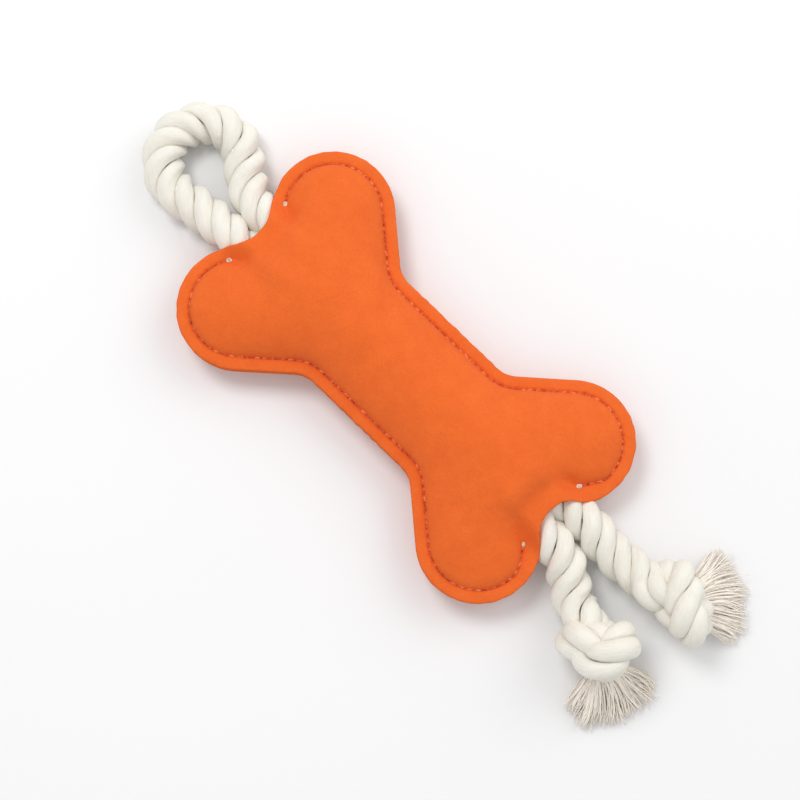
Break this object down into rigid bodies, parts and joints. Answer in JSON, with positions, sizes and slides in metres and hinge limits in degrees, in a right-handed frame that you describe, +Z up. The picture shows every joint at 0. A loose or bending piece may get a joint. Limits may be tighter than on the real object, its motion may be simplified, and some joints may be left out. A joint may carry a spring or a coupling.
{
  "type": "dog training bumper",
  "caption": "Bone-shaped felt dog training bumper, stuffed, with a doubled cotton rope through it: a carrying loop at one end, two knotted frayed tails at the other.",
  "frame": {"origin": "on the resting surface, under the middle of the bone, which lies flat", "axes": "+X along the bone towards the knotted tails, +Z up through both felt panels, +Y across the bone"},
  "size_m": [0.2623, 0.0883, 0.026],
  "materials": {
    "felt": "wool felt, orange",
    "filling": "loose polyester fibre",
    "seam_thread": "orange sewing thread",
    "tack_thread": "undyed thread",
    "rope": "undyed three-strand twisted cotton",
    "frayed_fibre": "loose cotton yarn, slightly darker"
  },
  "bodies": {
    "bone": {"top_panel": "felt", "bottom_panel": "felt", "filling": "filling", "needle_thread_left": "seam_thread", "bobbin_thread_left": "seam_thread", "tack_loop_left": "tack_thread", "tack_tail_left": "tack_thread", "rope_run_left": "rope", "needle_thread_right": "seam_thread", "bobbin_thread_right": "seam_thread", "tack_loop_right": "tack_thread", "tack_tail_right": "tack_thread", "rope_run_right": "rope"},
    "loop": {"rope_loop": "rope"},
    "tail_left": {"rope_tail_left": "rope", "knot_left": "rope", "frayed_end_left": "frayed_fibre"},
    "tail_right": {"rope_tail_right": "rope", "knot_right": "rope", "frayed_end_right": "frayed_fibre"}
  },
  "joints": [
    {"name": "loop_lift", "type": "hinge", "parent": "bone", "child": "loop", "pos_m": [-0.079, 0, 0.01], "axis": [0, 1, 0], "range_deg": [0, 75]},
    {"name": "tail_left_lift", "type": "hinge", "parent": "bone", "child": "tail_left", "pos_m": [0.079, -0.0068, 0.011], "axis": [-0.4266, -0.8373, -0.342], "range_deg": [0, 60]},
    {"name": "tail_right_lift", "type": "hinge", "parent": "bone", "child": "tail_right", "pos_m": [0.079, 0.0066, 0.0104], "axis": [0.0492, -0.9384, 0.342], "range_deg": [0, 60]}
  ]
}
